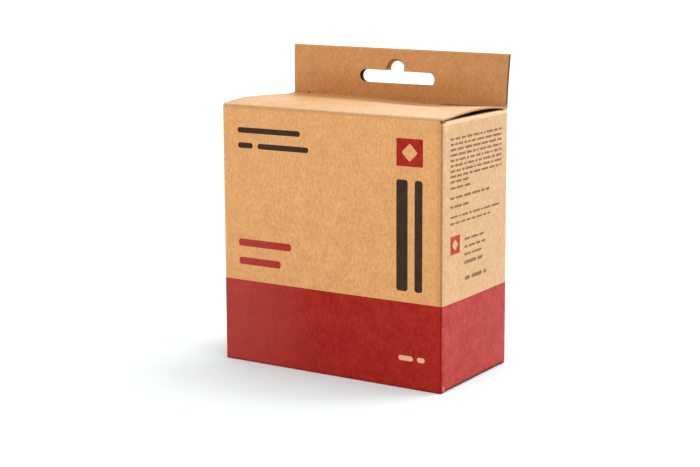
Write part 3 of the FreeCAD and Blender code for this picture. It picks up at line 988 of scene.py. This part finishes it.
def blob(name, node, surface, outline, thickness, v_cuts):
    """A thin film of glue between two boards."""
    piece = board(name, surface, outline, [glue, glue, glue], v_cuts=v_cuts, thickness=thickness)
    fixed(piece, node)


def ragged(u_low, u_high, v_low, v_high, seed, wobble=0.35):
    """A rounded rectangle whose edge wanders a little, as spread glue does."""
    chance = random.Random(seed)
    loop = rounded([(u, v, 1.2) for u, v in square(u_low, u_high, v_low, v_high)], 4)
    points = []
    for a, b in zip(loop, loop[1:] + loop[:1]):
        count = max(1, round((b - a).length / 1.4))
        points += [a.lerp(b, k / count) for k in range(count)]
    middle = Vector(((u_low + u_high) / 2, (v_low + v_high) / 2))
    return [p + (middle - p).normalized() * chance.uniform(0, wobble) for p in points]


def tab_glue():
    """Two patches of glue between the plies, one each side of the slot."""
    low, high = box_mm("hang_tab_glue")
    for side, word in ((-1, "left"), (1, "right")):

        def surface(u, z, w):
            x = side * u
            return x, low.y + w + tab_shift(x, z), z

        outline = ragged(high.x - TAB_GLUE_LENGTH, high.x, low.z, high.z, 5 + side)
        blob(
            "tab_glue_" + word, "hang_tab_glue", surface, outline, high.y - low.y, span(low.z, high.z, 1.5),
        )


def seam_glue():
    low, high = box_mm("side_seam_glue")

    def surface(u, z, w):
        return low.x + w, u, z

    outline = ragged(low.y, high.y, low.z, high.z, 11, 0.5)
    blob(
        "side_seam_glue_line", "side_seam_glue", surface, outline, high.x - low.x, span(low.z, high.z, 6.0),
    )


def glue_flap():
    """The narrow flap from the back panel that is glued inside the left side panel."""
    low, high = box_mm("glue_flap")
    width = BACK - low.y
    surface, u_range = wall_surface(SEAM_X, BACK, 270, width, end_bent=False, bulge=0.0)
    outline = [
        (u_range[0], low.z), (CORNER_RADIUS, low.z), (width, low.z + GLUE_FLAP_TAPER),
        (width, high.z - GLUE_FLAP_TAPER), (CORNER_RADIUS, high.z), (u_range[0], high.z),
    ]
    piece = board(
        "glue_flap_board", surface, outline, WALL_MATERIALS,
        u_cuts=wall_cuts(u_range, True, False), v_cuts=[BAND_TOP] + span(low.z, high.z, 6.0), paint=banded,
    )
    fixed(piece, "glue_flap")


# --- the lid and its tuck flap ------------------------------------------------
def over(x, distance, w):
    y, z = OVER.place(distance, w)
    return x, y, z + valley_lift(x, distance) + lid_lift(x, distance)


def lid():
    right = LID_RIGHT + LID_OVERHANG
    outline = [
        (TAB_LEFT, PLY_END), (TAB_RIGHT, PLY_END), (TAB_RIGHT, PLY_END + 0.5), (right, PLY_END + 1.1),
        (right, LID_END), (-right, LID_END), (-right, PLY_END + 1.1), (TAB_LEFT, PLY_END + 0.5),
    ]
    # Faces before the valley are the front ply's foot, and take the tab's painted-shade kraft.
    piece = board(
        "lid_board", over, outline, LEVEL_MATERIALS, paint=lambda u, v: 3 if v < VALLEY else 0,
        u_cuts=span(-right, right, 4.0),
        v_cuts=span(PLY_END, VALLEY, CREASE_STEP) + [VALLEY] + crease_cuts(VALLEY, LID_END, 1.4, 1.2),
    )
    hinged(piece, "lid_panel", over, PLY_END, 1.7)


def tuck_outline(start, corner, end, wide, narrow):
    """A tuck flap's outline: as wide as its panel at the crease, then narrower, with a rounded end."""
    right_side = [
        (wide, start, 0), (wide, corner, 0.3), (wide - 0.7, corner + 0.9, 0.5), (narrow, corner + 3.2, 1.0),
        (narrow, end, TUCK_CORNER_RADIUS),
    ]
    left_side = [(-u, v, radius) for u, v, radius in reversed(right_side)]
    return rounded(left_side[-1:] + right_side + left_side[:-1])


def lid_tuck():
    outline = tuck_outline(LID_END, LID_CORNER, OVER.length, LID_RIGHT + LID_OVERHANG, LID_TUCK_RIGHT)
    piece = board(
        "lid_tuck_board", over, outline, LEVEL_MATERIALS,
        u_cuts=span(-LID_RIGHT, LID_RIGHT, 6.0), v_cuts=crease_cuts(LID_END, OVER.length, 1.6, 2.0),
    )
    hinged(piece, "lid_tuck_flap", over, LID_END, 1.5)


# --- the bottom panel and its tuck flap ---------------------------------------
def under(x, distance, w):
    y, z = UNDER.place(distance, w)
    return x, y, z


def bottom():
    start = UNDER.nearest(BACK, CREASE_RADIUS)
    corner = UNDER.nearest(BACK, 0.0)
    outline = rounded([
        (BOTTOM_LEFT, start, 0), (RIGHT - CORNER_RADIUS, start, 0), (RIGHT - CORNER_RADIUS, corner + 0.4, 0),
        (BOTTOM_RIGHT, corner + 1.2, 0.3), (BOTTOM_RIGHT, BOTTOM_END, 0), (BOTTOM_LEFT, BOTTOM_END, 0),
    ])
    piece = board(
        "bottom_board", under, outline, BOTTOM_MATERIALS,
        u_cuts=span(BOTTOM_LEFT, BOTTOM_RIGHT, 5.0), v_cuts=crease_cuts(start, BOTTOM_END, 1.6, 3.0),
    )
    hinged(piece, "bottom_panel", under, start, 1.2)


def bottom_tuck():
    """The bottom's tuck flap. Past its crease it is centred on the carton, not on the bottom panel."""
    corner = UNDER.nearest(BOTTOM_CREASE.y, 0.0)
    middle = (BOTTOM_LEFT + BOTTOM_RIGHT) / 2
    half = (BOTTOM_RIGHT - BOTTOM_LEFT) / 2
    outline = [
        (u + (middle if abs(u) > BOTTOM_TUCK_RIGHT + 0.01 else 0.0), v)
        for u, v in tuck_outline(BOTTOM_END, corner, UNDER.length, half, BOTTOM_TUCK_RIGHT)
    ]
    piece = board(
        "bottom_tuck_board", under, outline, BOTTOM_MATERIALS,
        u_cuts=span(BOTTOM_LEFT, BOTTOM_RIGHT, 6.0), v_cuts=crease_cuts(BOTTOM_END, UNDER.length, 1.6, 2.0),
    )
    hinged(piece, "bottom_tuck_flap", under, BOTTOM_END, 1.5)


# --- the dust flaps -----------------------------------------------------------
def dust_flap(body, side, top):
    """A dust flap and its crease. side is 1 on the right and -1 on the left."""
    node = body + "_flap"
    z = SIDE_TOP if top else SIDE_BASE
    foot = -1.5 if top else 1.5
    edge = side * RIGHT
    path = Profile(
        [(edge, z + foot, 0), (edge, z, CREASE_RADIUS), (edge - side * DUST_LENGTH, z, 0)],
        -side if top else side,
    )
    front, rear = dust_reach(node)
    start = path.nearest(edge, z + math.copysign(CREASE_RADIUS, foot))
    corner = path.nearest(edge, z)
    tip = path.length
    outline = rounded([
        (front, start, 0), (rear, start, 0), (rear, corner, 0),
        (rear - DUST_TAPER * DUST_LENGTH, tip, DUST_CORNER_RADIUS),
        (front + DUST_SHOULDER, tip, DUST_CORNER_RADIUS),
        (front + DUST_SHOULDER, corner + DUST_SHOULDER_AT + DUST_SHOULDER, 0.4),
        (front, corner + DUST_SHOULDER_AT, 0.8),
    ])
    dip = FLAP_DIP if top else 0.0

    def surface(y, distance, w):
        x, height = path.place(distance, w)
        sunk = 1 - bump(max(0.0, distance - corner - 0.4), FLAP_DIP_LENGTH)
        return x, y, height - dip * sunk

    piece = board(
        body + "_board", surface, outline, TOP_DUST_MATERIALS if top else BOTTOM_MATERIALS,
        u_cuts=span(front, rear, 5.0), v_cuts=crease_cuts(start, tip, 1.4, 4.0),
    )
    hinged(piece, node, surface, start, 1.2)


# --- what the carton holds ----------------------------------------------------
def rounded_brick(low, high, radius, step, roughness, seed):
    """A closed box with rounded edges in small faces, with shallow dents in its surface."""
    middle = (low + high) / 2
    half = (high - low) / 2
    core = half - Vector((radius, radius, radius))
    bm = bmesh.new()
    found = {}

    def corner(point):
        key = tuple(round(c, 4) for c in point)
        if key not in found:
            inner = Vector([max(-c, min(c, p)) for c, p in zip(core, point)])
            normal = (point - inner).normalized()
            place = middle + inner + normal * radius
            dent = noise.fractal(place * 0.55 + Vector((seed, 0, 0)), 0.8, 2.0, 4)
            found[key] = bm.verts.new((place - normal * roughness * abs(dent)) * MM)
        return found[key]

    def steps(size):
        flat = size - radius
        bend = [flat + radius * math.tan(math.radians(a)) for a in (0, 15, 30, 45)]
        inner = [-flat] + span(-flat, flat, step) + [flat]
        return [-b for b in reversed(bend[1:])] + inner + bend[1:]

    for axis in range(3):
        a, b = [i for i in range(3) if i != axis]
        for end in (-1, 1):
            grid = []
            for p in steps(half[a]):
                row = []
                for q in steps(half[b]):
                    point = Vector((0, 0, 0))
                    point[axis], point[a], point[b] = end * half[axis], p, q
                    row.append(corner(point))
                grid.append(row)
            for upper, lower in zip(grid, grid[1:]):
                for i in range(len(upper) - 1):
                    bm.faces.new([upper[i], upper[i + 1], lower[i + 1], lower[i]]).smooth = True
    bmesh.ops.recalc_face_normals(bm, faces=bm.faces[:])
    return bm


def chalk_block():
    low, high = box_mm("chalk_block")
    bm = rounded_brick(low, high, 1.2, 1.1, 0.22, 3.0)
    fixed(make_object("chalk_block_pressed", bm, [chalk]), "chalk_block")


def wrapper():
    """A sheet of thin paper round the block: a smooth sleeve, and four flaps folded in at each end."""
    low, high = box_mm("block_wrapper")
    bm = rounded_brick(low, high, 1.35, 1.5, 0.05, 9.0)
    fixed(make_object("wrapper_sleeve", bm, [wrap]), "block_wrapper")
    width = high.x - low.x
    depth = high.y - low.y
    middle = (low.y + high.y) / 2
    reach = depth * 0.56
    inset = 1.1
    paper = 0.05
    layer_rise = 0.035
    stand_off = 0.03
    for z, way, word in ((high.z, 1, "top"), (low.z, -1, "base")):
        for layer, turn in enumerate(("left", "right", "rear", "front")):
            lift = way * layer_rise * layer

            def surface(u, v, w):
                crinkle = 0.02 * math.sin(0.9 * u + v) * math.sin(1.3 * v)
                place = {
                    "left": (low.x + inset + v, middle + u),
                    "right": (high.x - inset - v, middle + u),
                    "rear": (u, high.y - inset - v),
                    "front": (u, low.y + inset + v),
                }[turn]
                return place[0], place[1], z + lift + way * (stand_off + abs(crinkle) - w)

            along = depth if turn in ("left", "right") else width
            base = along / 2 - inset
            tip = max(base - reach, 0.6)
            outline = [(-base, 0.0), (base, 0.0), (tip, reach), (-tip, reach)]
            if turn in ("left", "right"):
                outline = [(-base, 0.0), (base, 0.0), (0.8, base - 0.8), (-0.8, base - 0.8)]
            flap = board(
                f"wrapper_{word}_{turn}", surface, outline, [wrap, wrap, wrap],
                u_cuts=span(-base, base, 2.0), v_cuts=span(0.0, reach, 2.0), thickness=paper,
            )
            fixed(flap, "block_wrapper")


front_wall()
right_wall()
left_wall()
back_wall()
hang_tab()
tab_glue()
seam_glue()
glue_flap()
lid()
lid_tuck()
bottom()
bottom_tuck()
dust_flap("right_top_dust", 1, True)
dust_flap("left_top_dust", -1, True)
dust_flap("right_bottom_dust", 1, False)
dust_flap("left_bottom_dust", -1, False)
chalk_block()
wrapper()


# --- stage, light and camera --------------------------------------------------
def add_floor():
    bm = bmesh.new()
    bmesh.ops.create_grid(bm, x_segments=1, y_segments=1, size=12.0)
    nodes = Nodes("studio_floor")
    nodes.shader.inputs["Base Color"].default_value = (0.675, 0.74, 0.745, 1.0)
    nodes.shader.inputs["Roughness"].default_value = 0.9
    nodes.shader.inputs["Specular IOR Level"].default_value = 0.0
    floor = make_object("studio_floor", bm, [nodes.material])
    floor.location.z = -0.05 * MM


def add_sun(name, strength, degrees, towards):
    """A soft light from a direction, as wide as an angle."""
    light = bpy.data.lights.new(name, "SUN")
    light.angle = math.radians(degrees)
    light.energy = strength
    lamp = bpy.data.objects.new(name, light)
    lamp.rotation_euler = (-Vector(towards)).to_track_quat("-Z", "Y").to_euler()
    bpy.context.scene.collection.objects.link(lamp)


def add_lights():
    """A white room with a soft key light from behind and above, and a broad one from the right."""
    world = bpy.data.worlds.new("studio")
    bpy.context.scene.world = world
    world.use_nodes = True
    background = world.node_tree.nodes["Background"]
    background.inputs["Color"].default_value = (1.0, 1.0, 1.0, 1.0)
    background.inputs["Strength"].default_value = 1.32
    add_sun("key", 1.6, 40, (0.32, 0.60, 0.85))
    add_sun("side", 0.75, 80, (1.0, 0.0, 0.45))


def add_camera():
    """A camera to the right of the front and a little above it, rolled a third of a degree."""
    yaw, pitch, roll = (math.radians(a) for a in (32.68, 10.80, -0.33))
    place = Vector((RIGHT + 211.43, FRONT - 378.65, 130.50)) * MM
    aim = Matrix.Rotation(yaw, 4, "Z") @ Matrix.Rotation(math.pi / 2 - pitch, 4, "X")
    data = bpy.data.cameras.new("camera")
    data.sensor_width = 36.0
    data.lens = 79.38
    data.clip_start = 0.01
    data.clip_end = 20.0
    camera = bpy.data.objects.new("camera", data)
    camera.matrix_world = Matrix.Translation(place) @ aim @ Matrix.Rotation(roll, 4, "Z")
    bpy.context.scene.collection.objects.link(camera)
    bpy.context.scene.camera = camera


add_floor()
add_lights()
add_camera()
bpy.context.scene.view_settings.view_transform = "Standard"
